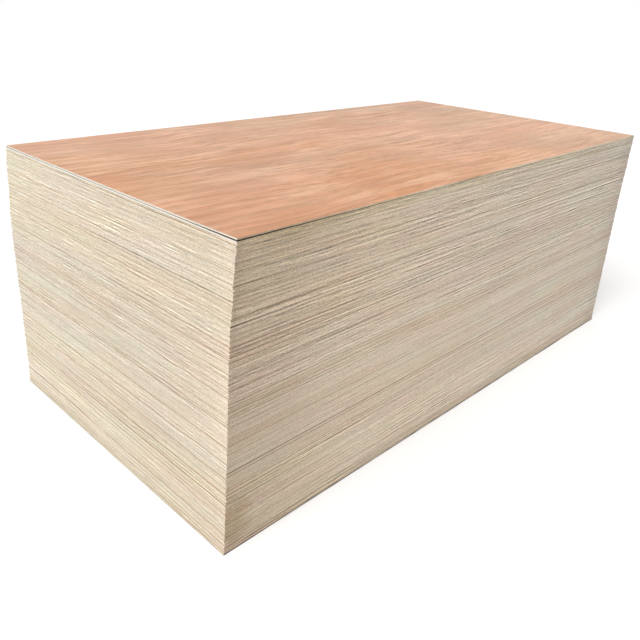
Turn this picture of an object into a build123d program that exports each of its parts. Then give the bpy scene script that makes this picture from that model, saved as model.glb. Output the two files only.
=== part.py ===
"""A stack of thin plywood sheets, laid flat by hand and square to within a few millimetres.

Millimetres, +Z up. X runs along the sheets and Y across them. The origin is on the floor,
under the middle of the stack.
"""

import math
import os
import random

from build123d import *

# One sheet, a full-size panel sawn square
sheet_length = 2440.0
sheet_width = 1220.0
sheet_thickness = 5.2

# The stack, with the thin film of air that sheets trap between them
sheet_count = 180
air_gap = 0.03
sheets_per_node = 4

# Typical stray of one sheet from the line of its neighbours, in millimetres and degrees
stray_along = 0.8
stray_across = 0.6
stray_turn = 0.012
stray_seed = 11

# Slow twist of the stack about its middle, in degrees from the foot to the top
stack_twist = 0.6

# The foot: the lowest sheets lie proud of the rest at the corner between -X and -Y
foot_sheets = 2
foot_reach = 2.5

# The belly: above half height the stack stands out past its foot, towards -X
belly_reach = 4.5
belly_height = 620.0
belly_spread = 220.0

# The last lifts laid are set back towards +X by a step each, counted in sheets from the top
lift_step = 1.9
upper_lift_sheets = 41
top_lift_sheets = 33

# The topmost sheets sweep back towards +X
sweep_reach = 6.5
sweep_depth = 110.0

# The top sheet has curled up off the stack at its -X end
curl_run = 720.0
curl_lift = 2.4

# Worked out from the sizes above
pitch = sheet_thickness + air_gap
top_index = sheet_count - 1
top_underside = top_index * pitch
curl_start = curl_run - sheet_length / 2
curl_radius = (curl_run**2 + curl_lift**2) / (2 * curl_lift)
curl_angle = math.degrees(2 * math.atan2(curl_lift, curl_run))


def wander(index):
    """Place along X of a sheet in the slow wander of the stack, before it is centred."""
    height = index * pitch
    foot = foot_reach if index < foot_sheets else 0.0
    belly = belly_reach * math.exp(-(((height - belly_height) / belly_spread) ** 2))
    sweep = sweep_reach * max(0.0, 1 - (top_underside - height) / sweep_depth) ** 2
    lifts = (upper_lift_sheets, top_lift_sheets)
    steps = sum(lift_step for lift in lifts if index >= sheet_count - lift)
    return steps + sweep - belly - foot


def twist(index):
    """Turn of a sheet in the slow twist of the stack, in degrees."""
    return stack_twist * (index / top_index - 0.5)


def half_reach(turn):
    """Half the footprint, along X and along Y, of a sheet turned by an angle in degrees."""
    cosine = math.cos(math.radians(turn))
    sine = math.sin(math.radians(abs(turn)))
    along = (sheet_length * cosine + sheet_width * sine) / 2
    across = (sheet_length * sine + sheet_width * cosine) / 2
    return along, across


def middle(places, reaches):
    """Middle of the footprint along one axis, from the sheets' centres and half sizes."""
    low = min(place - reach for place, reach in zip(places, reaches))
    high = max(place + reach for place, reach in zip(places, reaches))
    return (low + high) / 2


# How each sheet lies, from the bottom of the stack up
hand = random.Random(stray_seed)
turns = [twist(index) + hand.gauss(0, stray_turn) for index in range(sheet_count)]
places_x = [wander(index) + hand.gauss(0, stray_along) for index in range(sheet_count)]
places_y = [hand.gauss(0, stray_across) for _ in range(sheet_count)]
for index in range(foot_sheets):
    places_y[index] -= foot_reach
reaches_x, reaches_y = zip(*(half_reach(turn) for turn in turns))
middle_x = middle(places_x, reaches_x)
middle_y = middle(places_y, reaches_y)


def sheet_plane(index):
    """Plane of a sheet's underside, centred on the sheet, with its X along the sheet."""
    centre = (places_x[index] - middle_x, places_y[index] - middle_y, index * pitch)
    turn = math.radians(turns[index])
    return Plane(origin=centre, x_dir=(math.cos(turn), math.sin(turn), 0), z_dir=(0, 0, 1))


os.makedirs("parts", exist_ok=True)

# The flat sheets, a few neighbours to a node
for first in range(0, top_index, sheets_per_node):
    after_last = min(first + sheets_per_node, top_index)
    with BuildPart() as sheets:
        for index in range(first, after_last):
            with BuildSketch(sheet_plane(index)):
                Rectangle(sheet_length, sheet_width)
            extrude(amount=sheet_thickness)
    sheets.part.label = f"sheets_{first + 1:03d}_{after_last:03d}"
    export_step(sheets.part, f"parts/{sheets.part.label}.step")

# The top sheet, drawn in profile from its flat +X end to its curled -X end
lie = sheet_plane(top_index)
with BuildPart() as top_sheet:
    with BuildSketch(Plane(origin=lie.origin, x_dir=lie.x_dir, z_dir=-lie.y_dir)):
        with BuildLine():
            underside = Line((sheet_length / 2, 0), (curl_start, 0))
            underside_curl = JernArc(underside @ 1, underside % 1, curl_radius, -curl_angle)
            face = Line((sheet_length / 2, sheet_thickness), (curl_start, sheet_thickness))
            face_curl = JernArc(face @ 1, face % 1, curl_radius - sheet_thickness, -curl_angle)
            Line(underside @ 0, face @ 0)
            Line(underside_curl @ 1, face_curl @ 1)
        make_face()
    extrude(amount=sheet_width / 2, both=True)
top_sheet.part.label = "top_sheet"
export_step(top_sheet.part, "parts/top_sheet.step")
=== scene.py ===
"""Looks of a stack of thin plywood sheets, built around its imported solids.

Metres, +Z up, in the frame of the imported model. X runs along the sheets and Y across them. The
origin is on the floor, under the middle of the stack.
"""

import logging
import math
import random
from collections.abc import Iterable
from dataclasses import dataclass, field
from enum import Enum
from typing import Any, Union

import bpy
import numpy as np
from mathutils import Matrix, Vector


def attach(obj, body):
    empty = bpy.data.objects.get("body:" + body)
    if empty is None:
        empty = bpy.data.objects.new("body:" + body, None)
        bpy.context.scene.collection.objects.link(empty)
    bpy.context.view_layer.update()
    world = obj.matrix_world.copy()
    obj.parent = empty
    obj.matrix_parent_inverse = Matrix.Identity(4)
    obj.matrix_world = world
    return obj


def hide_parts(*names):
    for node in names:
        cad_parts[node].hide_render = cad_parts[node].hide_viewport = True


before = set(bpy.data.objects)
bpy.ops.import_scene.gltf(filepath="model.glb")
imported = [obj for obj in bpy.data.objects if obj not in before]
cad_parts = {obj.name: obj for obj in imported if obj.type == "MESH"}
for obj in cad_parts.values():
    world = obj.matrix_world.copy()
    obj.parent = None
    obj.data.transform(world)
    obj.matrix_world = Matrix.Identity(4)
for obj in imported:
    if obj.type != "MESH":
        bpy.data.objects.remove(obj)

log = logging.getLogger("plywood_stack")

MM = 0.001
HALF_LENGTH = 1.22
HALF_WIDTH = 0.61
BODY = "root"
TOP_NODE = "top_sheet"
PICTURE_SIDE = 640
SENSOR = 36.0
BAKE_MAP = "OFBake"

Colour = tuple[float, float, float]
Point = tuple[float, float, float]
Span = tuple[float, float, float, float]
Operand = Union["Value", float]


def paint(red: float, green: float, blue: float) -> Colour:
    """Turn a colour as a screen shows it, from 0 to 255, into linear light."""
    def linear(level: float) -> float:
        share = level / 255
        return share / 12.92 if share <= 0.04045 else ((share + 0.055) / 1.055) ** 2.4

    return linear(red), linear(green), linear(blue)


class Mark(Enum):
    """Names of the values that a mesh carries for its tree and its finishes."""

    SHEET = "sheet"
    PLY = "ply"
    END_GRAIN = "end_grain"
    ON_END = "on_end"
    SKIN = "skin"
    INWARD = "inward"
    GAP = "gap"
    LIFT = "lift"
    RECESSED = "recessed"


class Ply(Enum):
    """The plies of a sheet, from its underside up."""

    BACK = 0
    LOWER_CORE = 1
    CROSS = 2
    UPPER_CORE = 3
    FACE = 4


class Skin(Enum):
    """The kinds of surface that a sheet shows, in the order of its material slots."""

    EDGE = 0
    FACE = 1
    BACK = 2


class Value:
    """A socket that takes part in Python arithmetic, each operation adding a Math node."""

    def __init__(self, graph: "Graph", socket: bpy.types.NodeSocket) -> None:
        """Wrap a socket of a graph."""
        self.graph = graph
        self.socket = socket

    def math(self, operation: str, *others: Operand, clamp: bool = False) -> "Value":
        """Add a Math node.

        Args:
            operation: The Math node's operation.
            others: The second and third operands.
            clamp: Whether the result is kept between 0 and 1.

        Returns:
            The result.
        """
        return self.graph.math(operation, self, *others, clamp=clamp)

    def __add__(self, other: Operand) -> "Value":
        """Add a value or a number."""
        return self.math("ADD", other)

    __radd__ = __add__

    def __sub__(self, other: Operand) -> "Value":
        """Take a value or a number away."""
        return self.math("SUBTRACT", other)

    def __rsub__(self, other: Operand) -> "Value":
        """Take this value away from a number."""
        return self.graph.math("SUBTRACT", other, self)

    def __mul__(self, other: Operand) -> "Value":
        """Multiply by a value or a number."""
        return self.math("MULTIPLY", other)

    __rmul__ = __mul__

    def __truediv__(self, other: Operand) -> "Value":
        """Divide by a value or a number."""
        return self.math("DIVIDE", other)

    def __rtruediv__(self, other: Operand) -> "Value":
        """Divide a number by this value."""
        return self.graph.math("DIVIDE", other, self)

    def __lt__(self, other: Operand) -> "Value":
        """1 where this value is under another, elsewhere 0."""
        return self.math("LESS_THAN", other)

    def __gt__(self, other: Operand) -> "Value":
        """1 where this value is over another, elsewhere 0."""
        return self.math("GREATER_THAN", other)

    def floor(self) -> "Value":
        """Round down."""
        return self.math("FLOOR")

    def size(self) -> "Value":
        """The value without its sign."""
        return self.math("ABSOLUTE")

    def clamped(self) -> "Value":
        """The value, kept between 0 and 1."""
        return self.math("ADD", 0.0, clamp=True)

    def counts(self, number: float) -> "Value":
        """1 where a counted value has reached just this number, elsewhere 0."""
        return (self - number).size() < 0.5

    def ramp(self, low: float, high: float) -> "Value":
        """Rise smoothly from 0 at low to 1 at high."""
        node = self.graph.node(
            "ShaderNodeMapRange",
            {"interpolation_type": "SMOOTHSTEP"},
            {"Value": self, "From Min": low, "From Max": high},
        )
        return Value(self.graph, node.outputs["Result"])

    def fall(self, low: float, high: float) -> "Value":
        """Fall smoothly from 1 at low to 0 at high."""
        return 1 - self.ramp(low, high)

    def band(self, span: Span) -> "Value":
        """Rise between the first two places of a span and fall between the last two."""
        return self.ramp(*span[:2]) * self.fall(*span[2:])


class Graph:
    """A node tree that is written as expressions."""

    def __init__(self, tree: bpy.types.NodeTree) -> None:
        """Take over a node tree."""
        self.tree = tree

    def node(
        self,
        kind: str,
        settings: dict[str, Any] | None = None,
        sockets: dict[str | int, Any] | None = None,
    ) -> bpy.types.Node:
        """Add a node.

        Args:
            kind: The node's type.
            settings: Its properties, which are set first.
            sockets: Values or links for its inputs, by name or number.

        Returns:
            The node.
        """
        made = self.tree.nodes.new(kind)
        for name, setting in (settings or {}).items():
            setattr(made, name, setting)
        for name, given in (sockets or {}).items():
            self.feed(made.inputs[name], given)
        return made

    def feed(self, socket: bpy.types.NodeSocket, given: Any) -> None:
        """Link a socket, or set its value.

        Args:
            socket: The input.
            given: A Value, another socket, a colour, a vector or a number.
        """
        if isinstance(given, Value):
            given = given.socket
        if isinstance(given, bpy.types.NodeSocket):
            self.tree.links.new(given, socket)
        elif socket.type == "RGBA" and len(given) == 3:
            socket.default_value = (*given, 1.0)
        else:
            socket.default_value = given

    def math(self, operation: str, *operands: Operand, clamp: bool = False) -> Value:
        """Add a Math node.

        Args:
            operation: The node's operation.
            operands: Its operands in order.
            clamp: Whether the result is kept between 0 and 1.

        Returns:
            The result.
        """
        settings = {"operation": operation, "use_clamp": clamp}
        node = self.node("ShaderNodeMath", settings, dict(enumerate(operands)))
        return Value(self, node.outputs[0])

    def vector(self, operation: str, first: Any, second: Any) -> bpy.types.NodeSocket:
        """Add a Vector Math node and return its vector.

        Args:
            operation: The node's operation.
            first: The first vector.
            second: The second vector, or the factor of a SCALE.

        Returns:
            The resulting vector.
        """
        place: str | int = "Scale" if operation == "SCALE" else 1
        node = self.node(
            "ShaderNodeVectorMath", {"operation": operation}, {0: first, place: second}
        )
        return node.outputs["Vector"]

    def point(self, x: Operand, y: Operand, z: Operand) -> bpy.types.NodeSocket:
        """Make a vector of three values."""
        return self.node("ShaderNodeCombineXYZ", None, {0: x, 1: y, 2: z}).outputs[0]

    def split(self, vector: Any) -> tuple[Value, Value, Value]:
        """Take a vector or a colour apart into three values."""
        node = self.node("ShaderNodeSeparateXYZ", None, {0: vector})
        x, y, z = (Value(self, output) for output in node.outputs)
        return x, y, z

    def noise(
        self, x: Operand, y: Operand, z: Operand, detail: float = 2.0, roughness: float = 0.5
    ) -> Value:
        """Sample smooth noise, which lies mostly between 0.3 and 0.7.

        Args:
            x: The place, counted in features of the noise.
            y: The place across.
            z: The place upward, or a number that sets this noise apart from others.
            detail: Octaves.
            roughness: Weight of the finer octaves.

        Returns:
            The noise.
        """
        place = self.point(x, y, z)
        node = self.node(
            "ShaderNodeTexNoise",
            {"noise_dimensions": "3D"},
            {"Vector": place, "Scale": 1.0, "Detail": detail, "Roughness": roughness},
        )
        return Value(self, node.outputs[0])

    def scatter(self, x: Operand, y: Operand, z: Operand) -> tuple[Value, Value, Value]:
        """Three unrelated random values, the same wherever the place is the same."""
        place = {"Vector": self.point(x, y, z)}
        node = self.node("ShaderNodeTexWhiteNoise", {"noise_dimensions": "3D"}, place)
        return self.split(node.outputs["Color"])

    def mix(self, share: Operand, first: Any, second: Any, kind: str = "MIX") -> Any:
        """Mix two colours.

        Args:
            share: How much of the second colour there is.
            first: The first colour.
            second: The second colour.
            kind: The Mix node's blend type.

        Returns:
            The mixed colour's socket.
        """
        settings = {"data_type": "RGBA", "blend_type": kind}
        node = self.node("ShaderNodeMix", settings, {0: share, 6: first, 7: second})
        return node.outputs[2]

    def tint(self, colour: Any, tint: Any, share: Operand = 1.0) -> Any:
        """Multiply a colour by a tint, wholly or by a share."""
        return self.mix(share, colour, tint, "MULTIPLY")

    def shade(self, colour: Any, level: Value) -> Any:
        """Make a colour darker or lighter by a factor."""
        return self.vector("SCALE", colour, level)


class ShaderGraph(Graph):
    """The node tree of a material."""

    def __init__(self, name: str) -> None:
        """Make a material with an empty tree."""
        self.material = bpy.data.materials.new(name)
        self.material.use_nodes = True
        super().__init__(self.material.node_tree)
        self.tree.nodes.clear()

    def place(self) -> tuple[Value, Value, Value]:
        """The point on the piece, along X, Y and Z."""
        return self.split(self.node("ShaderNodeTexCoord").outputs["Object"])

    def mark(self, mark: Mark) -> Value:
        """A value that the mesh carries."""
        node = self.node("ShaderNodeAttribute", {"attribute_name": mark.value})
        return Value(self, node.outputs["Fac"])

    def finish(
        self,
        colour: Any,
        roughness: Any,
        height: Value,
        depth: float,
        strength: float,
        gloss: float = 0.25,
    ) -> bpy.types.Material:
        """End the tree in a Principled shader with a bump.

        Args:
            colour: The base colour.
            roughness: The roughness.
            height: The height of the surface, from 0 to 1.
            depth: The real height of the bump, in metres.
            strength: The strength of the bump.
            gloss: The level of the reflections.

        Returns:
            The material.
        """
        bump = self.node(
            "ShaderNodeBump", None, {"Strength": strength, "Distance": depth, "Height": height}
        )
        shader = self.node(
            "ShaderNodeBsdfPrincipled",
            None,
            {
                "Base Color": colour,
                "Roughness": roughness,
                "Normal": bump.outputs["Normal"],
                "Specular IOR Level": gloss,
            },
        )
        self.node("ShaderNodeOutputMaterial", None, {"Surface": shader.outputs[0]})
        return self.material


@dataclass(frozen=True)
class EdgePoint:
    """A point on the sawn edges, as values of a material's graph."""

    x: Value
    y: Value
    z: Value
    run: Value
    along: Value
    across: Value
    sheet: Value
    ply: Value
    veneer: Value
    joint: Value
    off_middle: Value
    end_grain: Value
    on_end: Value

    @classmethod
    def read(cls, graph: ShaderGraph) -> "EdgePoint":
        """Read the point from its place and from what the mesh carries."""
        x, y, z = graph.place()
        sheet, ply = graph.mark(Mark.SHEET), graph.mark(Mark.PLY)
        return cls(
            x=x,
            y=y,
            z=z,
            run=x + y,
            along=((x + HALF_LENGTH) / (2 * HALF_LENGTH)).clamped(),
            across=((y + HALF_WIDTH) / (2 * HALF_WIDTH)).clamped(),
            sheet=sheet,
            ply=ply,
            veneer=sheet * len(Ply) + ply,
            joint=sheet + (ply > Ply.CROSS.value + 0.5),
            off_middle=(ply - Ply.CROSS.value).size(),
            end_grain=graph.mark(Mark.END_GRAIN),
            on_end=graph.mark(Mark.ON_END),
        )

    def by_side(self, long: Operand, end: Operand) -> Value:
        """Choose one value for the long sides and another for the ends."""
        return long + self.on_end * (end - long)


@dataclass(frozen=True)
class EdgeFinish:
    """The sawn edges: pale core veneers, thin brown face veneers and dark joints."""

    cream: Colour = paint(240, 232, 215)
    straw: Colour = paint(240, 230, 206)
    rose: Colour = paint(241, 224, 209)
    peach: Colour = paint(241, 222, 200)
    fresh: Colour = paint(250, 245, 236)
    brown_veneer: Colour = paint(172, 147, 112)
    joint: Colour = paint(88, 71, 50)
    # Painted shade for the open joint under the top sheet
    under_top: Colour = paint(60, 40, 26)
    end_tints: tuple[Colour, Colour] = ((1.00, 0.995, 0.99), (1.04, 1.085, 1.10))
    long_tints: tuple[Colour, Colour] = ((1.02, 0.99, 0.965), (0.97, 1.01, 1.065))
    # Painted shade on the long sides beside the near corner
    corner_shade_tint: Colour = (0.83, 0.82, 0.81)
    olive_tint: Colour = (0.90, 0.90, 0.80)
    upper_tint: Colour = (0.965, 0.945, 0.91)
    stain: Colour = (0.74, 0.69, 0.55)
    # Painted contact shadow where the stack meets the floor
    contact_shadow: Colour = paint(62, 57, 58)
    long_piece: float = 0.9
    short_piece: float = 0.34
    sheets: int = 180
    slack_joint: int = 150
    calm_band: Span = (0.18, 0.27, 0.42, 0.52)
    dim_band: Span = (0.28, 0.42, 0.58, 0.72)
    golden_band: Span = (0.69, 0.71, 0.77, 0.785)
    white_band: Span = (0.79, 0.805, 0.86, 0.885)
    olive_foot: float = 0.905
    stain_place: tuple[float, float] = (-1.20, 0.105)
    stain_reach: tuple[float, float] = (0.07, 0.08)
    contact_shadow_height: float = 9.0 * MM
    grain_depth: float = 0.15 * MM

    def material(self) -> bpy.types.Material:
        """Build the material of the sawn edges."""
        graph = ShaderGraph("sawn_edge")
        at = EdgePoint.read(graph)
        colour, tone = self._wood(graph, at)

        # Calm and busy bands through the height of the stack
        band = graph.noise(at.run * 0.9, at.z * 15, 4.0)
        busy = band.ramp(0.36, 0.64)
        calm = at.z.band(self.calm_band)
        rough_corner = at.z.ramp(0.70, 0.90) * (at.x + HALF_LENGTH).fall(0.0, 1.2) * 0.25
        lift = at.by_side(0.45 - calm * 0.85 + at.z.ramp(0.55, 0.85) * 0.10 + rough_corner, 0.0)
        lively = (0.65 + busy * 0.6) * (0.92 + lift)

        # Tone of the piece and of the sheet, short fibres, and the speckle of the sawn grain
        contrast = self._against_neighbours(graph, at)
        fibre = graph.noise(at.run * 16, at.veneer * 3.1, 51.0, detail=3, roughness=0.65)
        speckle = graph.noise(at.run * 150, at.veneer * 5.7, 61.0, roughness=0.65)
        level = (
            at.by_side(0.975, 0.965)
            + (tone - 0.5) * lively * at.by_side(0.26, 0.18)
            + contrast.math("MINIMUM", at.by_side(0.11, 1.11)) * lively * at.by_side(1.28, 1.16)
            + contrast.ramp(0.08, 0.30) * at.by_side(0.02, 0.09)
            + (band - 0.5) * 0.10
            + (fibre - 0.5) * lively * at.by_side(0.42, 0.56)
            + (speckle - 0.5) * at.by_side(1.40 - calm * 0.28, 1.05)
            - at.end_grain * 0.03
        )
        colour = graph.shade(colour, level)
        colour = self._joints(graph, at, colour, busy, lift)
        colour = self._weather(graph, at, colour)
        colour = self._damp_stain_and_contact_shadow(graph, at, colour)
        roughness = 0.74 + (speckle - 0.5) * 0.2 + at.end_grain * 0.08
        height = fibre * 0.5 + speckle * 0.5
        return graph.finish(colour, roughness, height, self.grain_depth, 0.5, gloss=0.08)

    def _wood(self, graph: ShaderGraph, at: EdgePoint) -> tuple[Any, Value]:
        """Colour the veneers, each pieced together from lengths of different logs.

        Args:
            graph: The material's graph.
            at: The point on the edges.

        Returns:
            The colour's socket, and the tone of the length of veneer, from 0 to 1.
        """
        own, _, _ = graph.scatter(at.veneer, 3.5, 0.5)
        length = self.long_piece + at.end_grain * (self.short_piece - self.long_piece)
        piece = (at.run / length + own * 31).floor()
        tone, pink, gold = graph.scatter(piece, at.veneer, 7.5)

        # Slow patches of pinker and of yellower wood, and a little of each veneer's own
        pink_patch = graph.noise(at.run * 2.6, at.z * 13, 33.0, detail=3)
        gold_patch = graph.noise(at.run * 2.2, at.z * 12, 37.0, detail=3)
        golden = at.z.band(self.golden_band) * at.on_end
        pinkness = ((pink_patch - 0.5) * 3.0 + pink * 0.4 + 0.3).clamped()
        goldness = ((gold_patch - 0.5) * 2.2 + gold * 0.4 + 0.3 + golden * 0.4).clamped()
        colour = graph.mix(
            pinkness,
            graph.mix(goldness, self.cream, self.straw),
            graph.mix(goldness, self.rose, self.peach),
        )
        return colour, tone

    @staticmethod
    def _against_neighbours(graph: ShaderGraph, at: EdgePoint) -> Value:
        """Compare the tone of a sheet with the sheets above and below it.

        Args:
            graph: The material's graph.
            at: The point on the edges.

        Returns:
            The tone, about 0.
        """
        run = at.run * at.by_side(3.2, 6.5)
        own, below, above = (
            graph.noise(run, (at.sheet + step) * 1.7, 21.0, detail=4, roughness=0.65)
            for step in (0.0, -1.0, 1.0)
        )
        return own - 0.5 - (below + above - 1) * at.by_side(0.62, 0.76)

    def _joints(
        self, graph: ShaderGraph, at: EdgePoint, colour: Any, busy: Value, lift: Value
    ) -> Any:
        """Draw the face veneers and the joints between sheets.

        Args:
            graph: The material's graph.
            at: The point on the edges.
            colour: The colour so far.
            busy: How busy the band of the stack is, from 0 to 1.
            lift: How much livelier than usual the wood is.

        Returns:
            The new colour's socket.
        """
        run, joint = at.run, at.joint

        # The face and back veneers show as thin brown lines that come and go
        skin_ply = at.off_middle.ramp(1.2, 1.8)
        fade = graph.noise(run * 5.0, at.sheet * 2.7, 1.0, detail=3).ramp(0.34, 0.66)
        colour = graph.mix(skin_ply * (0.05 + fade * 0.35), colour, self.brown_veneer)

        # Joints between sheets gape here and there and then read as dark lines
        strong, _, _ = graph.scatter(joint, 11.5, 2.5)
        slow = graph.noise(run * 1.6, joint * 3.9, 9.0).ramp(0.36, 0.64)
        quick_run = run * at.by_side(8.0, 16.0)
        quick = graph.noise(quick_run, joint * 5.3, 13.0, detail=4, roughness=0.6)
        quick = quick.ramp(0.34, 0.62)
        gape = strong.ramp(0.10, 0.9) * (slow * 0.8 + busy * 0.5) * (0.05 + quick)
        most = at.by_side(0.44 + at.z.ramp(0.3, 0.5) * 0.32, 0.66)
        gape = (gape * (lift + at.by_side(1.28, 0.70))).math("MINIMUM", most)
        second = joint.counts(self.sheets - 2) * (0.15 + quick * 0.45)
        gape = (gape * (joint < self.sheets - 2.5) + second).clamped()
        colour = graph.mix(gape * skin_ply, colour, self.joint)

        # One slack joint shows as a long line on the near half of the near end
        slack = joint.counts(self.slack_joint) * at.on_end * (at.x < 0.0)
        slack = slack * at.y.fall(-0.05, 0.15) * (0.22 + quick * 0.42)
        colour = graph.mix(slack * at.off_middle.ramp(0.2, 0.9), colour, self.joint)

        # The two topmost sheets are freshly sawn at their ends
        fresh = (at.sheet > self.sheets - 2.5) * at.on_end
        colour = graph.mix(fresh * (1 - skin_ply) * 0.8, colour, self.fresh)

        # Painted shade lies along the open joint under the top sheet and on the top sheet's lowest
        # plies, deepest at the near corner
        open_side = (at.x + (quick - 0.5) * 0.3).fall(0.2, 1.0)
        open_end = 0.22 + at.y.fall(-0.58, -0.39) * 0.78 + at.y.ramp(0.40, 0.60) * 0.2
        lifted = joint.counts(self.sheets - 1) * at.by_side(open_side, open_end)
        low_ply = (at.sheet > self.sheets - 1.5) * (at.ply < 1.5)
        low_ply = low_ply * at.by_side(0.6 - at.x.ramp(-1.12, -0.62) * 0.22, 0.7)
        shaded = skin_ply.math("MAXIMUM", low_ply)
        return graph.mix(lifted * shaded * 0.95, colour, self.under_top)

    def _weather(self, graph: ShaderGraph, at: EdgePoint, colour: Any) -> Any:
        """Tint the wood from one end of each side to the other, and age its top.

        Args:
            graph: The material's graph.
            at: The point on the edges.
            colour: The colour so far.

        Returns:
            The new colour's socket.
        """
        z, along, across = at.z, at.along, at.across
        high = graph.noise(at.run * 3.0, z * 25, 41.0, detail=3)
        weathered = (z + (high - 0.5) * 0.08).ramp(self.olive_foot, self.olive_foot + 0.025)

        # The wood is warmer towards one corner, and the long sides carry painted shade beside it
        long_tint = graph.mix(along, *self.long_tints)
        corner_shaded_tint = graph.tint(long_tint, self.corner_shade_tint)
        long_tint = graph.mix((along - weathered * 0.10).ramp(0.0, 0.24), corner_shaded_tint, long_tint)
        end_tint = graph.mix(across, *self.end_tints)
        colour = graph.tint(colour, graph.mix(at.on_end, long_tint, end_tint))

        # Lighter and darker stretches of the ends and of the long sides, with a painted highlight
        # on the end and painted shade on the long side, each beside the near corner
        on_ends = (
            across.fall(0.0, 0.09) * 0.10
            + z.ramp(0.62, 0.85) * 0.01
            + z.band(self.white_band) * 0.03
            - z.band(self.dim_band) * across.ramp(0.05, 0.3) * 0.06
            - z.fall(0.35, 0.6) * 0.025
        )
        on_long_sides = (
            z.fall(0.60, 0.80) * 0.03
            + z.fall(0.1, 0.45) * along.ramp(0.3, 0.55) * 0.015
            - along.ramp(0.7, 1.0) * (0.055 - z.ramp(0.2, 0.7) * 0.02)
            - along.fall(0.0, 0.022) * (0.03 + z.ramp(0.45, 0.75) * 0.08)
            - along.ramp(0.93, 1.0) * 0.12
        )
        colour = graph.shade(colour, 1 + at.by_side(on_long_sides, on_ends))

        # The long sides are browner above their near corner and have weathered to olive on top
        browner = z.ramp(0.55, 0.80) * along.fall(0.12, 0.42)
        colour = graph.tint(colour, self.upper_tint, at.by_side(browner, 0.0))
        return graph.tint(colour, self.olive_tint, at.by_side(weathered * 0.7, 0.0))

    def _damp_stain_and_contact_shadow(self, graph: ShaderGraph, at: EdgePoint, colour: Any) -> Any:
        """Add a damp stain low on the long side, and painted shade and a patchy painted contact
        shadow where the stack meets the floor.

        Args:
            graph: The material's graph.
            at: The point on the edges.
            colour: The colour so far.

        Returns:
            The new colour's socket.
        """
        sideways = (at.x - self.stain_place[0]) / self.stain_reach[0]
        upward = (at.z - self.stain_place[1]) / self.stain_reach[1]
        ragged = graph.noise(at.x * 18, at.y * 18, at.z * 45, detail=3)
        spread = sideways * sideways + upward * upward + (ragged - 0.5) * 2.0
        damp = spread.fall(-0.2, 1.6) * at.by_side(at.y < -0.55, 0.0)
        colour = graph.tint(colour, self.stain, damp * 0.8)

        # Painted shade: the edges darken towards the floor
        shaded = at.z.fall(0.3 * self.contact_shadow_height, 4 * self.contact_shadow_height)
        colour = graph.shade(colour, 1 - shaded * at.by_side(0.14, 0.06))
        # Painted contact shadow, in patches, along the foot of the edges
        foot = at.z.fall(0.3 * self.contact_shadow_height, self.contact_shadow_height)
        patch = graph.noise(at.run * 5, 3.0, 47.0).ramp(0.36, 0.60)
        return graph.mix(foot * (0.40 + patch * 0.55) * at.by_side(1.0, 0.2), colour, self.contact_shadow)


@dataclass(frozen=True)
class FaceFinish:
    """The red-brown face veneer, peeled from the log, with its wavy figure along X."""

    warm: Colour = paint(219, 155, 111)
    pale: Colour = paint(208, 173, 147)
    rose: Colour = paint(222, 164, 137)
    light: Colour = paint(244, 201, 167)
    brown: Colour = paint(172, 122, 92)
    pore: Colour = paint(150, 98, 70)
    grain_depth: float = 0.10 * MM

    def material(self) -> bpy.types.Material:
        """Build the material of the upper face."""
        graph = ShaderGraph("red_face_veneer")
        x, y, _ = graph.place()

        # Slow drift from a warm near corner to a greyer far end, in broad soft patches
        drift = graph.noise(x * 0.8, y * 1.5, 2.0)
        patch = graph.noise(x * 1.8, y * 3.8, 3.0)
        corner = x * 0.50 + y * (0.45 - x * 0.55)
        far = corner + (drift - 0.5) * 1.4 + (patch - 0.5) * 2.2
        colour = graph.mix(far.ramp(-0.95, 0.95), self.warm, self.pale)
        rosy = graph.noise(x * 1.6, y * 3.0, 17.0).ramp(0.38, 0.64)
        colour = graph.mix(rosy * 0.45, colour, self.rose)
        dim = graph.noise(x * 1.7, y * 3.6, 11.0, detail=3)
        colour = graph.shade(colour, 0.955 - y * (x + 1) * 0.085 + (dim - 0.5) * 0.54)

        # The grain waves along the sheet, with curls where the log had knots
        bend = graph.noise(x * 1.0, y * 2.4, 5.0)
        ripple = graph.noise(x * 3.6, y * 6.0, 7.0)
        grain = y + (bend - 0.5) * 0.17 + (ripple - 0.5) * 0.022

        # Peeled figure: thin light lines, soft bands between them and a few long dark lines
        lines = self._ridge(graph.noise(x * 0.9, grain * 17, 21.0), 0.07)
        more = self._ridge(graph.noise(x * 2.8, grain * 30, 23.0), 0.09)
        dark = self._ridge(graph.noise(x * 0.7, grain * 12, 29.0, detail=1), 0.04)
        shown = graph.noise(x * 2.4, y * 4.5, 25.0).ramp(0.36, 0.60)
        streak = graph.noise(x * 8.0, grain * 95, 33.0, detail=3, roughness=0.6)
        fleck = graph.noise(x * 26, grain * 80, 24.0)
        light = lines * (0.3 + shown * 0.7) * 0.44 + more * (0.4 + shown * 0.4) * 0.36
        texture = (streak - 0.5) * 0.84 + (fleck - 0.5) * 0.54
        colour = graph.shade(colour, 0.965 + texture * (0.40 + shown * 0.62))
        colour = graph.mix(light, colour, self.light)
        colour = graph.mix(dark * (1 - shown) * 0.34, colour, self.brown)

        # Fine fibres and short dark pores
        fine = graph.noise(x * 20, grain * 300, 27.0)
        pores = graph.noise(x * 55, grain * 900, 31.0, detail=1).ramp(0.60, 0.74)
        colour = graph.shade(colour, 1.0 + (fine - 0.5) * 0.5)
        colour = graph.mix(pores * 0.25, colour, self.pore)

        roughness = 0.62 + (fine - 0.5) * 0.15
        height = fine * 0.6 - pores * 0.4 + streak * 0.3
        return graph.finish(colour, roughness, height, self.grain_depth, 0.4)

    @staticmethod
    def _ridge(field: Value, width: float) -> Value:
        """Draw a thin line, as strong as 1, wherever a field passes through 0.5."""
        return (field - 0.5).size().fall(0.0, width)


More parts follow.
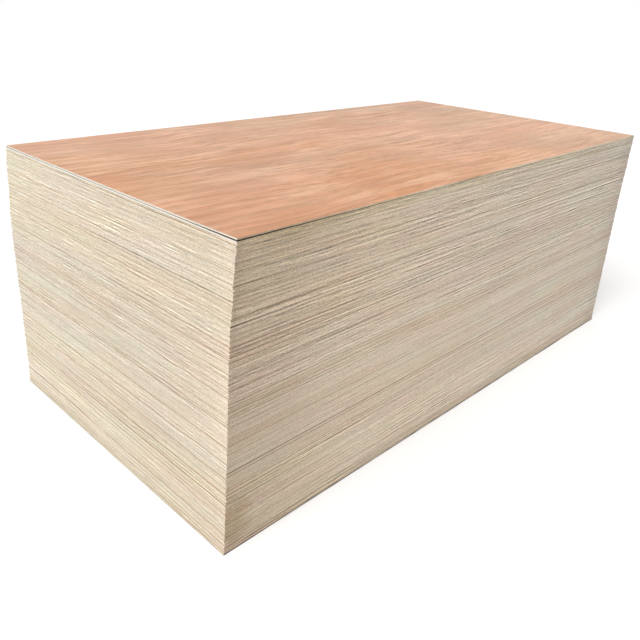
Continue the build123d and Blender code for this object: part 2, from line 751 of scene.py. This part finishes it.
@dataclass(frozen=True)
class InnerFinish:
    """The faces that lie inside the stack, dull with dust and painted shade, and darker with
    painted shade in the open gap under the top sheet.
    """

    base: Colour = paint(190, 164, 133)
    brown: Colour = paint(170, 143, 112)
    # Painted shade for the gap under the top sheet
    gap_shade: Colour = paint(58, 42, 33)
    foot: Colour = paint(190, 170, 142)
    foot_height: float = 0.03
    gap_height: float = 0.9355
    grain_depth: float = 0.08 * MM

    def material(self) -> bpy.types.Material:
        """Build the material of the faces between sheets."""
        graph = ShaderGraph("inner_face")
        x, y, z = graph.place()
        streak = graph.noise(x * 1.2, y * 6, 3.0, detail=1)
        colour = graph.mix(streak.ramp(0.35, 0.7), self.base, self.brown)
        colour = graph.mix(z < self.foot_height, colour, self.foot)
        # Painted shade on the inner faces in the open gap under the top sheet
        colour = graph.mix(z > self.gap_height, colour, self.gap_shade)
        return graph.finish(colour, 0.85, streak, self.grain_depth, 0.2, gloss=0.0)


@dataclass(frozen=True)
class BackFinish:
    """The pale back veneer under the lowest sheet."""

    base: Colour = paint(222, 200, 168)
    dark: Colour = paint(198, 170, 136)
    grain_depth: float = 0.08 * MM

    def material(self) -> bpy.types.Material:
        """Build the material of the underside."""
        graph = ShaderGraph("pale_back_veneer")
        x, y, _ = graph.place()
        streak = graph.noise(x * 1.4, y * 28, 3.0, detail=3)
        fine = graph.noise(x * 6.0, y * 300, 8.0)
        colour = graph.mix(streak.ramp(0.35, 0.7) * 0.5, self.base, self.dark)
        colour = graph.shade(colour, 1.0 + (fine - 0.5) * 0.12)
        return graph.finish(colour, 0.7 + (fine - 0.5) * 0.1, fine, self.grain_depth, 0.3)


@dataclass(frozen=True)
class Finishes:
    """The materials of a piece's sheets."""

    edge: bpy.types.Material
    face: bpy.types.Material
    back: bpy.types.Material

    def of(self, skin: Skin) -> bpy.types.Material:
        """The material of one kind of surface."""
        return {Skin.EDGE: self.edge, Skin.FACE: self.face, Skin.BACK: self.back}[skin]


def carry(mesh: bpy.types.Mesh, mark: Mark, values: Iterable[Any], domain: str = "POINT") -> None:
    """Store a number or a vector for each point or face of a mesh.

    Args:
        mesh: The mesh.
        mark: The name to store it under.
        values: One number or vector for each point or face.
        domain: POINT or FACE.
    """
    table = np.asarray(list(values), np.float32)
    kind, name = ("FLOAT", "value") if table.ndim == 1 else ("FLOAT_VECTOR", "vector")
    mesh.attributes.new(mark.value, kind, domain).data.foreach_set(name, table.ravel())


def column(items: Any, name: str, kind: type, width: int = 1) -> np.ndarray:
    """Read one property of all the items of a list, such as a mesh's vertices.

    Args:
        items: The list.
        name: The property.
        kind: The type of its numbers.
        width: How many numbers an item has.

    Returns:
        A number for each item, or a row of numbers where the width is over 1.
    """
    flat = np.empty(len(items) * width, kind)
    items.foreach_get(name, flat)
    return flat.reshape(-1, width) if width > 1 else flat


def mark_grain(mesh: bpy.types.Mesh) -> None:
    """Mark the faces that show end grain: cross plies on the long sides, the others on the ends.

    Args:
        mesh: A mesh with its plies marked.
    """
    normals = np.abs(column(mesh.polygons, "normal", np.float32, 3))
    ply = column(mesh.attributes[Mark.PLY.value].data, "value", np.float32)
    on_end = normals[:, 0] > normals[:, 1]
    cross = np.rint(ply) == Ply.CROSS.value
    carry(mesh, Mark.ON_END, on_end, "FACE")
    carry(mesh, Mark.END_GRAIN, on_end != cross, "FACE")


@dataclass(frozen=True)
class LayUp:
    """How a sheet is laid up and how its sawn edge wears, in metres."""

    back: float = 0.35 * MM
    core: float = 1.5 * MM
    cross: float = 1.5 * MM
    face: float = 0.35 * MM
    recess: float = 0.20 * MM
    ragged: float = 0.14 * MM
    ragged_size: float = 0.05
    gap_depth: float = 8 * MM
    seed: float = 7.0


class LayUpTree(Graph):
    """Geometry Nodes that lay plies on flat outlines and saw their edges."""

    SIZES = {
        "Back veneer": "back",
        "Core ply": "core",
        "Cross ply": "cross",
        "Face veneer": "face",
        "Recess of the cross ply": "recess",
        "Ragged edge": "ragged",
        "Ragged edge size": "ragged_size",
        "Depth of core gaps": "gap_depth",
        "Seed": "seed",
    }
    LAYERS_APART = 60.0
    WELD = 1e-6

    def __init__(self, lay_up: LayUp) -> None:
        """Build the tree.

        Args:
            lay_up: The thicknesses and the wear of the edge.
        """
        super().__init__(bpy.data.node_groups.new("laid_up_sheets", "GeometryNodeTree"))
        self.lay_up = lay_up
        face = self.tree.interface
        face.new_socket("Geometry", in_out="INPUT", socket_type="NodeSocketGeometry")
        for label in self.SIZES:
            face.new_socket(label, in_out="INPUT", socket_type="NodeSocketFloat")
        for skin in Skin:
            face.new_socket(skin.name, in_out="INPUT", socket_type="NodeSocketMaterial")
        face.new_socket("Geometry", in_out="OUTPUT", socket_type="NodeSocketGeometry")
        self.given = self.node("NodeGroupInput").outputs
        self._build()

    def size(self, label: str) -> Value:
        """A size that the tree is given."""
        return Value(self, self.given[label])

    def store(self, mesh: Any, mark: Mark, value: float, domain: str, where: Any = True) -> Any:
        """Store a number on the mesh and return the mesh.

        Args:
            mesh: The mesh socket.
            mark: The name to store it under.
            value: The number.
            domain: FACE or POINT.
            where: The faces or points that get it.

        Returns:
            The mesh socket.
        """
        node = self.node(
            "GeometryNodeStoreNamedAttribute",
            {"data_type": "FLOAT", "domain": domain},
            {"Geometry": mesh, "Selection": where, "Name": mark.value, "Value": value},
        )
        return node.outputs["Geometry"]

    def carried(self, mark: Mark, kind: str = "FLOAT") -> bpy.types.NodeSocket:
        """A value that the outlines carry."""
        node = self.node(
            "GeometryNodeInputNamedAttribute", {"data_type": kind}, {"Name": mark.value}
        )
        return node.outputs["Attribute"]

    def raise_faces(self, mesh: Any, where: Any, height: Operand, ply: Ply) -> tuple[Any, Any]:
        """Raise faces by a height and mark the new sides with their ply.

        Args:
            mesh: The mesh socket.
            where: The faces to raise.
            height: How far to raise them.
            ply: The ply that the sides belong to.

        Returns:
            The marked mesh's socket and the choice of the raised faces.
        """
        node = self.node(
            "GeometryNodeExtrudeMesh",
            {"mode": "FACES"},
            {
                "Mesh": mesh,
                "Selection": where,
                "Offset": self.point(0.0, 0.0, height),
                "Offset Scale": 1.0,
                "Individual": False,
            },
        )
        sides = node.outputs["Side"]
        marked = self.store(node.outputs["Mesh"], Mark.PLY, float(ply.value), "FACE", sides)
        return marked, node.outputs["Top"]

    def _build(self) -> None:
        """Lay the plies, saw the edges and set the materials."""
        outlines = self.given["Geometry"]
        flipped = self.node("GeometryNodeFlipFaces", None, {"Mesh": outlines}).outputs[0]
        underside = self.store(flipped, Mark.SKIN, float(Skin.BACK.value), "FACE")

        mesh, top = self.raise_faces(outlines, True, self.size("Back veneer"), Ply.BACK)
        mesh, top = self.raise_faces(mesh, top, self.size("Core ply"), Ply.LOWER_CORE)
        mesh, top = self.raise_faces(mesh, top, 0.0, Ply.CROSS)
        mesh = self.store(mesh, Mark.RECESSED, 1.0, "POINT", top)
        mesh, top = self.raise_faces(mesh, top, self.size("Cross ply"), Ply.CROSS)
        mesh, top = self.raise_faces(mesh, top, 0.0, Ply.CROSS)
        mesh = self.store(mesh, Mark.RECESSED, 0.0, "POINT", top)
        mesh, top = self.raise_faces(mesh, top, self.size("Core ply"), Ply.UPPER_CORE)
        mesh, top = self.raise_faces(mesh, top, self.size("Face veneer"), Ply.FACE)
        mesh = self.store(mesh, Mark.SKIN, float(Skin.FACE.value), "FACE", top)

        joined = self.node("GeometryNodeJoinGeometry")
        for part in (underside, mesh):
            self.tree.links.new(part, joined.inputs[0])
        worn = {"Geometry": joined.outputs[0], "Offset": self._wear()}
        mesh = self.node("GeometryNodeSetPosition", None, worn).outputs[0]
        open_seams = {"Geometry": mesh, "Distance": self.WELD}
        mesh = self.node("GeometryNodeMergeByDistance", None, open_seams).outputs[0]
        mesh = self.node("GeometryNodeRealizeInstances", None, {"Geometry": mesh}).outputs[0]
        for skin in Skin:
            chosen = self.node(
                "FunctionNodeCompare",
                {"data_type": "FLOAT", "operation": "EQUAL"},
                {"A": self.carried(Mark.SKIN), "B": float(skin.value), "Epsilon": 0.1},
            ).outputs[0]
            dressed = {"Geometry": mesh, "Selection": chosen, "Material": self.given[skin.name]}
            mesh = self.node("GeometryNodeSetMaterial", None, dressed).outputs[0]
        self.node("NodeGroupOutput", None, {"Geometry": mesh})

    def _wear(self) -> bpy.types.NodeSocket:
        """How far each point moves: ragged edges, recessed cross plies, core gaps and the lift."""
        x, y, z = self.split(self.node("GeometryNodeInputPosition").outputs[0])
        grain = 1 / self.size("Ragged edge size")
        layer = z * grain * self.LAYERS_APART + self.size("Seed")
        ragged = (self.noise(x * grain, y * grain, layer) - 0.5) * 4 * self.size("Ragged edge")
        gap = Value(self, self.carried(Mark.GAP))
        recess = self.size("Recess of the cross ply") + gap * self.size("Depth of core gaps")
        depth = ragged + recess * Value(self, self.carried(Mark.RECESSED))
        inward = self.carried(Mark.INWARD, "FLOAT_VECTOR")
        lift = self.point(0.0, 0.0, Value(self, self.carried(Mark.LIFT)))
        return self.vector("ADD", self.vector("SCALE", inward, depth), lift)

    def grow(
        self,
        name: str,
        points: list[Point],
        faces: list[list[int]],
        carried: dict[Mark, Iterable[Any]],
        finishes: Finishes,
    ) -> bpy.types.Object:
        """Run the tree on outlines and keep the result as a plain mesh.

        Args:
            name: The piece's name.
            points: The points of the flat outlines.
            faces: The faces of the outlines.
            carried: The values of the points that the tree reads.
            finishes: The materials.

        Returns:
            The finished object.
        """
        outlines = bpy.data.meshes.new("outlines")
        outlines.from_pydata(points, [], faces)
        for mark, values in carried.items():
            carry(outlines, mark, values)
        for skin in Skin:
            outlines.materials.append(finishes.of(skin))
        piece = bpy.data.objects.new(name, outlines)
        bpy.context.scene.collection.objects.link(piece)
        modifier = piece.modifiers.new("lay_up", "NODES")
        modifier.node_group = self.tree
        for item in self.tree.interface.items_tree:
            if item.in_out != "INPUT" or item.socket_type == "NodeSocketGeometry":
                continue
            if item.name in self.SIZES:
                modifier[item.identifier] = getattr(self.lay_up, self.SIZES[item.name])
            else:
                modifier[item.identifier] = finishes.of(Skin[item.name])
        view = bpy.context.evaluated_depsgraph_get()
        laid = bpy.data.meshes.new_from_object(piece.evaluated_get(view), depsgraph=view)
        laid.name = name
        piece.modifiers.remove(modifier)
        piece.data = laid
        bpy.data.meshes.remove(outlines)
        mark_grain(laid)
        return piece


@dataclass
class Outline:
    """The flat outline of one sheet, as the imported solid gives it."""

    index: int
    corners: np.ndarray
    underside: float
    points: list[tuple[float, float]] = field(default_factory=list)
    inward: list[tuple[float, float]] = field(default_factory=list)
    gap: list[float] = field(default_factory=list)

    SIDES = 4
    FIRST_SEED = 4000
    CLEAR_OF_CORNERS = 0.06
    CLEAR_OF_GAPS = 2 * MM
    LIP = 0.25 * MM
    CLOSEST = 0.1 * MM

    @classmethod
    def read(cls, index: int, places: np.ndarray) -> "Outline":
        """Find a sheet's outline from the corners of its solid.

        Args:
            index: The sheet's number, from 0 at the bottom.
            places: Vertices of the solid.

        Returns:
            The outline, anticlockwise from the corner between -X and -Y.
        """
        x, y = places[:, 0], places[:, 1]
        picks = [np.argmin(x + y), np.argmax(x - y), np.argmax(x + y), np.argmin(x - y)]
        return cls(index, places[picks, :2], float(places[:, 2].min()))

    def inward_of(self, side: int) -> np.ndarray:
        """The way into the sheet from one of its sides."""
        along = self.corners[(side + 1) % self.SIDES] - self.corners[side]
        return np.array([-along[1], along[0]]) / np.linalg.norm(along)

    def divide(self, step: float, gaps_per_metre: float, widths: tuple[float, float]) -> None:
        """Set points round the outline, with a narrow slot at every core gap.

        Args:
            step: Distance between the points.
            gaps_per_metre: How many core gaps there are.
            widths: The narrowest and the widest gap.
        """
        hand = random.Random(self.FIRST_SEED + self.index)
        for side in range(self.SIDES):
            start, end = self.corners[side], self.corners[(side + 1) % self.SIDES]
            length = float(np.linalg.norm(end - start))
            corner_in = self.inward_of(side) + self.inward_of((side - 1) % self.SIDES)
            self._add(start, corner_in, 0.0)
            count = max(2, round(length / step))
            stops = [(i / count * length, 0.0) for i in range(1, count)]
            for _ in range(self._draw(hand, gaps_per_metre * length)):
                middle = hand.uniform(self.CLEAR_OF_CORNERS, length - self.CLEAR_OF_CORNERS)
                half = hand.uniform(*widths) / 2
                depth = hand.uniform(0.5, 1.0)
                stops = [s for s in stops if abs(s[0] - middle) > half + self.CLEAR_OF_GAPS]
                stops += [
                    (middle - half - self.LIP, 0.0),
                    (middle - half, depth),
                    (middle + half, depth),
                    (middle + half + self.LIP, 0.0),
                ]
            last = 0.0
            for place, depth in sorted(stops):
                if place - last > self.CLOSEST:
                    point = start + (end - start) * place / length
                    self._add(point, self.inward_of(side), depth)
                    last = place

    @staticmethod
    def _draw(hand: random.Random, mean: float) -> int:
        """Draw a whole number with the given mean."""
        return int(mean) + (hand.random() < mean - int(mean))

    def _add(self, point: np.ndarray, inward: np.ndarray, gap: float) -> None:
        """Add one point of the outline."""
        self.points.append((float(point[0]), float(point[1])))
        self.inward.append((float(inward[0]), float(inward[1])))
        self.gap.append(gap)


@dataclass
class BakeLayout:
    """A UV map that gives the sawn edges most of the picture, a strip to each side."""

    outlines: list[Outline]
    shown_face: Skin | None = None
    face_share: float = 0.5
    strip_margin: float = 0.04
    cell_margin: float = 0.1
    face_margin: float = 0.01
    end_room: float = 0.49

    STRIPS = 3

    def lay(self, mesh: bpy.types.Mesh) -> None:
        """Write the map.

        Args:
            mesh: The finished mesh of the outlines' sheets.
        """
        first = self.outlines[0].index
        count = len(self.outlines)
        corner_vertex = column(mesh.loops, "vertex_index", np.int32)
        totals = column(mesh.polygons, "loop_total", np.int32)
        skin = column(mesh.polygons, "material_index", np.int32)
        points = column(mesh.vertices, "co", np.float32, 3)
        sheet_of_point = column(mesh.attributes[Mark.SHEET.value].data, "value", np.float32)
        sheet_of_point = np.rint(sheet_of_point).astype(int) - first

        # The sheet and the side of each face, then of each of its corners
        starts = np.concatenate([[0], np.cumsum(totals)[:-1]])
        places = points[corner_vertex]
        middle = np.add.reduceat(places, starts) / totals[:, None]
        sheet = sheet_of_point[corner_vertex[starts]]
        boxes = np.array([self._box(outline) for outline in self.outlines])
        centre, half, bottom = boxes[:, :2], boxes[:, 2:4], boxes[:, 4]
        reach = (middle[:, :2] - centre[sheet]) / half[sheet]
        on_end = np.abs(reach[:, 0]) > np.abs(reach[:, 1])
        strip = self.STRIPS * sheet + np.where(on_end, 2, reach[:, 1] > 0)
        face = np.repeat(np.arange(len(totals)), totals)
        sheet, skin, reach, on_end, strip = (a[face] for a in (sheet, skin, reach, on_end, strip))

        # The edges lie in strips, with both ends of a sheet in one
        local = np.clip((places[:, :2] - centre[sheet]) / half[sheet] * 0.5 + 0.5, 0, 1)
        lowest = points[sheet_of_point == 0, 2]
        rise = (places[:, 2] - bottom[sheet]) / float(lowest.max() - lowest.min())
        rows = self.STRIPS * count + 1
        room = 1.0 - (self.face_share if self.shown_face is not None else 0.0)
        far_end = np.where(reach[:, 0] > 0, 1 - self.end_room, 0.0)
        u = np.where(on_end, local[:, 1] * self.end_room + far_end, local[:, 0])
        v = (strip + self._inset(np.clip(rise, 0, 1), self.strip_margin)) / rows * room

        # The faces share one more strip, and the one that shows has the rest of the picture
        flat = skin != Skin.EDGE.value
        cell = 2 * sheet + (skin == Skin.FACE.value)
        inside = self._inset(local, self.cell_margin)
        u = np.where(flat, (cell + inside[:, 0]) / (2 * count), u)
        v = np.where(flat, (self.STRIPS * count + inside[:, 1]) / rows * room, v)
        if self.shown_face is not None:
            wanted = 0 if self.shown_face is Skin.BACK else count - 1
            shown = (skin == self.shown_face.value) & (sheet == wanted)
            above = room + self._inset(local[:, 1], self.face_margin) * self.face_share
            u = np.where(shown, local[:, 0], u)
            v = np.where(shown, above, v)
        layer = mesh.uv_layers.new(name=BAKE_MAP)
        layer.data.foreach_set("uv", np.stack([u, v], 1).astype(np.float32).ravel())

    @staticmethod
    def _inset(share: np.ndarray, margin: float) -> np.ndarray:
        """Keep shares from 0 to 1 clear of both ends by a margin."""
        return share * (1 - 2 * margin) + margin

    @staticmethod
    def _box(outline: Outline) -> tuple[float, float, float, float, float]:
        """Middle, half size and underside of an outline."""
        low, high = outline.corners.min(0), outline.corners.max(0)
        return (*((low + high) / 2), *((high - low) / 2), outline.underside)


@dataclass
class SheetPack:
    """Some neighbouring sheets of the stack, which stand for their CAD nodes."""

    nodes: list[str]
    first: int
    step: float = 0.04
    gaps_per_metre: float = 0.22
    gap_widths: tuple[float, float] = (4 * MM, 11 * MM)
    outlines: list[Outline] = field(default_factory=list)

    LEVELS_PER_METRE = 1e5

    @property
    def name(self) -> str:
        """The pack's name, with its first and last sheet counted from 1."""
        return f"sheets_{self.first + 1:03d}_to_{self.first + len(self.outlines):03d}"

    def read(self) -> None:
        """Find the sheets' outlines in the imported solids."""
        index = self.first
        for node in self.nodes:
            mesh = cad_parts[node].data
            places = np.array([vertex.co for vertex in mesh.vertices], float)
            level = np.round(places[:, 2] * self.LEVELS_PER_METRE).astype(int)
            levels = sorted(set(level))
            for low, high in zip(levels[::2], levels[1::2]):
                chosen = (level == low) | (level == high)
                self.outlines.append(Outline.read(index, places[chosen]))
                index += 1

    def build(self, tree: LayUpTree, finishes: Finishes) -> bpy.types.Object:
        """Make the sheets.

        Args:
            tree: The tree that lays plies on outlines.
            finishes: The materials.

        Returns:
            The finished piece.
        """
        points: list[Point] = []
        faces: list[list[int]] = []
        for outline in self.outlines:
            outline.divide(self.step, self.gaps_per_metre, self.gap_widths)
            faces.append(list(range(len(points), len(points) + len(outline.points))))
            points += [(x, y, outline.underside) for x, y in outline.points]
        carried = {
            Mark.SHEET: [o.index for o in self.outlines for _ in o.points],
            Mark.INWARD: [(*way, 0.0) for o in self.outlines for way in o.inward],
            Mark.GAP: [gap for o in self.outlines for gap in o.gap],
            Mark.LIFT: [0.0 for _ in points],
        }
        piece = tree.grow(self.name, points, faces, carried, finishes)
        shown = Skin.BACK if self.first == 0 else None
        BakeLayout(self.outlines, shown).lay(piece.data)
        return piece

    def place(self, piece: bpy.types.Object) -> None:
        """Fix the piece to its body in place of its CAD nodes."""
        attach(piece, BODY)
        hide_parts(*self.nodes)


@dataclass
class TopSheet:
    """The top sheet, which has curled up off the stack at its -X end."""

    index: int
    columns: int = 61
    rows: int = 31
    curl_run: float = 0.72
    curl_lift: float = 1.9 * MM
    near_fade: float = 0.32
    far_share: float = 0.3
    far_fade: float = 0.2
    least_share: float = 0.12

    def lift(self, along: float, across: float) -> float:
        """How far the sheet stands off the stack.

        Args:
            along: Distance from the -X end.
            across: Place across the sheet, from -1 on the near side to 1 on the far side.

        Returns:
            The lift in metres.
        """
        curl = max(0.0, 1 - along / self.curl_run) ** 2
        near = math.exp(-(across + 1) / self.near_fade)
        far = self.far_share * math.exp((across - 1) / self.far_fade)
        return self.curl_lift * curl * max(self.least_share, near, far)

    def build(self, tree: LayUpTree, finishes: Finishes) -> bpy.types.Object:
        """Make the sheet.

        Args:
            tree: The tree that lays plies on outlines.
            finishes: The materials.

        Returns:
            The finished piece.
        """
        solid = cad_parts[TOP_NODE].data
        places = np.array([vertex.co for vertex in solid.vertices], float)
        outline = Outline.read(self.index, places)
        a, b, c, d = outline.corners
        length = float(np.linalg.norm(b - a))
        last_row, last_column = self.rows - 1, self.columns - 1
        points, inward, lifts = [], [], []
        for row in range(self.rows):
            v = row / last_row
            for column_at in range(self.columns):
                u = column_at / last_column
                place = (a * (1 - u) + b * u) * (1 - v) + (d * (1 - u) + c * u) * v
                points.append((float(place[0]), float(place[1]), outline.underside))
                on = (row == 0, column_at == last_column, row == last_row, column_at == 0)
                ways = [outline.inward_of(side) for side, is_on in enumerate(on) if is_on]
                way = sum(ways, np.zeros(2))
                inward.append((float(way[0]), float(way[1]), 0.0))
                lifts.append(self.lift(u * length, 2 * v - 1))
        faces = [
            [r * self.columns + q + k for k in (0, 1, self.columns + 1, self.columns)]
            for r in range(last_row)
            for q in range(last_column)
        ]
        carried = {
            Mark.SHEET: [self.index for _ in points],
            Mark.INWARD: inward,
            Mark.GAP: [0.0 for _ in points],
            Mark.LIFT: lifts,
        }
        piece = tree.grow("top_sheet_laid", points, faces, carried, finishes)
        BakeLayout([outline], Skin.FACE).lay(piece.data)
        return piece

    def place(self, piece: bpy.types.Object) -> None:
        """Fix the piece to its body in place of its CAD node."""
        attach(piece, BODY)
        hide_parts(TOP_NODE)


@dataclass
class Stack:
    """The whole stack: packs of flat sheets and the top sheet."""

    nodes_per_pack: int = 3
    lay_up: LayUp = field(default_factory=LayUp)

    def build(self) -> None:
        """Make, dress and place every piece."""
        edge = EdgeFinish().material()
        inner = InnerFinish().material()
        back = BackFinish().material()
        tree = LayUpTree(self.lay_up)
        flat = sorted(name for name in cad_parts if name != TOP_NODE)
        first = 0
        for at in range(0, len(flat), self.nodes_per_pack):
            pack = SheetPack(flat[at : at + self.nodes_per_pack], first)
            pack.read()
            piece = pack.build(tree, Finishes(edge, inner, back if first == 0 else inner))
            pack.place(piece)
            report(piece)
            first += len(pack.outlines)
        top = TopSheet(first)
        piece = top.build(tree, Finishes(edge, FaceFinish().material(), inner))
        top.place(piece)
        report(piece)


def report(piece: bpy.types.Object) -> None:
    """Log a finished piece with its number of triangles."""
    triangles = sum(len(face.vertices) - 2 for face in piece.data.polygons)
    log.info("%s: %d triangles", piece.name, triangles)


@dataclass(frozen=True)
class Lamp:
    """A broad soft lamp, far off: the way to it, and the angle in degrees that it fills."""

    name: str
    toward: Point
    strength: float
    colour: Colour
    spread: float

    def hang(self) -> None:
        """Put the lamp into the scene."""
        data = bpy.data.lights.new(self.name, "SUN")
        data.energy = self.strength
        data.color = self.colour
        data.angle = math.radians(self.spread)
        lamp = bpy.data.objects.new(self.name, data)
        lamp.rotation_mode = "QUATERNION"
        lamp.rotation_quaternion = Vector(self.toward).to_track_quat("Z", "Y")
        bpy.context.scene.collection.objects.link(lamp)


@dataclass(frozen=True)
class Studio:
    """Floor, backdrop, lamps and camera."""

    camera_place: Point = (-2.1715, -1.7293, 1.4567)
    azimuth: float = 44.536
    elevation: float = -22.633
    roll: float = 2.94
    focal_pixels: float = 677.72
    middle: tuple[float, float] = (287.67, 280.77)
    floor_reach: float = 30.0
    floor_grey: float = 0.72
    floor_glow: float = 0.38
    sky: float = 0.30
    lamps: tuple[Lamp, ...] = (
        Lamp("key", (-0.68, -0.13, 0.74), 2.40, (1.0, 0.995, 0.985), 35),
        Lamp("fill", (0.25, -0.95, 0.30), 0.46, (1.0, 0.87, 0.78), 60),
        Lamp("back", (0.60, 0.70, 0.35), 0.50, (1.0, 0.98, 0.95), 60),
    )

    def build(self) -> None:
        """Set the stage."""
        self._camera()
        self._floor()
        self._world()
        for lamp in self.lamps:
            lamp.hang()
        bpy.context.scene.view_settings.view_transform = "Standard"

    def _camera(self) -> None:
        """Stand the camera where the picture was taken from."""
        azimuth, elevation, roll = map(math.radians, (self.azimuth, self.elevation, self.roll))
        ahead = Vector(
            (
                math.cos(elevation) * math.cos(azimuth),
                math.cos(elevation) * math.sin(azimuth),
                math.sin(elevation),
            )
        )
        level = ahead.cross(Vector((0, 0, 1))).normalized()
        upright = level.cross(ahead)
        right = level * math.cos(roll) + upright * math.sin(roll)
        up = upright * math.cos(roll) - level * math.sin(roll)
        data = bpy.data.cameras.new("camera")
        data.sensor_width = SENSOR
        data.lens = self.focal_pixels / PICTURE_SIDE * SENSOR
        data.shift_x = 0.5 - self.middle[0] / PICTURE_SIDE
        data.shift_y = self.middle[1] / PICTURE_SIDE - 0.5
        camera = bpy.data.objects.new("camera", data)
        turn = Matrix((right, up, -ahead)).transposed().to_4x4()
        camera.matrix_world = Matrix.Translation(self.camera_place) @ turn
        bpy.context.scene.collection.objects.link(camera)
        bpy.context.scene.camera = camera

    @staticmethod
    def _seen(graph: Graph) -> Value:
        """1 for the rays that make the picture, 0 for those that only light the stack."""
        path = graph.node("ShaderNodeLightPath").outputs
        rays = (Value(graph, path[f"Is {kind} Ray"]) for kind in ("Camera", "Glossy"))
        return graph.math("MAXIMUM", *rays)

    def _floor(self) -> None:
        """Lay a pale floor that keeps the shadow of the stack."""
        graph = ShaderGraph("pale_floor")
        grey = {"Color": (self.floor_grey,) * 3}
        matt = graph.node("ShaderNodeBsdfDiffuse", None, grey).outputs[0]
        light = {"Color": (1.0, 1.0, 1.0), "Strength": self._seen(graph) * self.floor_glow}
        glow = graph.node("ShaderNodeEmission", None, light).outputs[0]
        both = graph.node("ShaderNodeAddShader", None, {0: matt, 1: glow}).outputs[0]
        graph.node("ShaderNodeOutputMaterial", None, {"Surface": both})
        reach = self.floor_reach
        mesh = bpy.data.meshes.new("floor")
        corners = [(-reach, -reach, 0), (reach, -reach, 0), (reach, reach, 0), (-reach, reach, 0)]
        mesh.from_pydata(corners, [], [(0, 1, 2, 3)])
        mesh.materials.append(graph.material)
        floor = bpy.data.objects.new("floor", mesh)
        bpy.context.scene.collection.objects.link(floor)

    def _world(self) -> None:
        """Give the backdrop white to the eye and a soft light to the stack."""
        world = bpy.data.worlds.new("soft_sky")
        bpy.context.scene.world = world
        world.use_nodes = True
        world.node_tree.nodes.clear()
        graph = Graph(world.node_tree)
        strength = self.sky + self._seen(graph) * (1.0 - self.sky)
        light = {"Color": (1.0, 1.0, 1.0), "Strength": strength}
        glow = graph.node("ShaderNodeBackground", None, light).outputs[0]
        graph.node("ShaderNodeOutputWorld", None, {"Surface": glow})


def main() -> None:
    """Build the scene."""
    logging.basicConfig(level=logging.INFO, format="%(name)s %(message)s")
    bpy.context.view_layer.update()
    Studio().build()
    Stack().build()


if __name__ == "__main__":
    main()
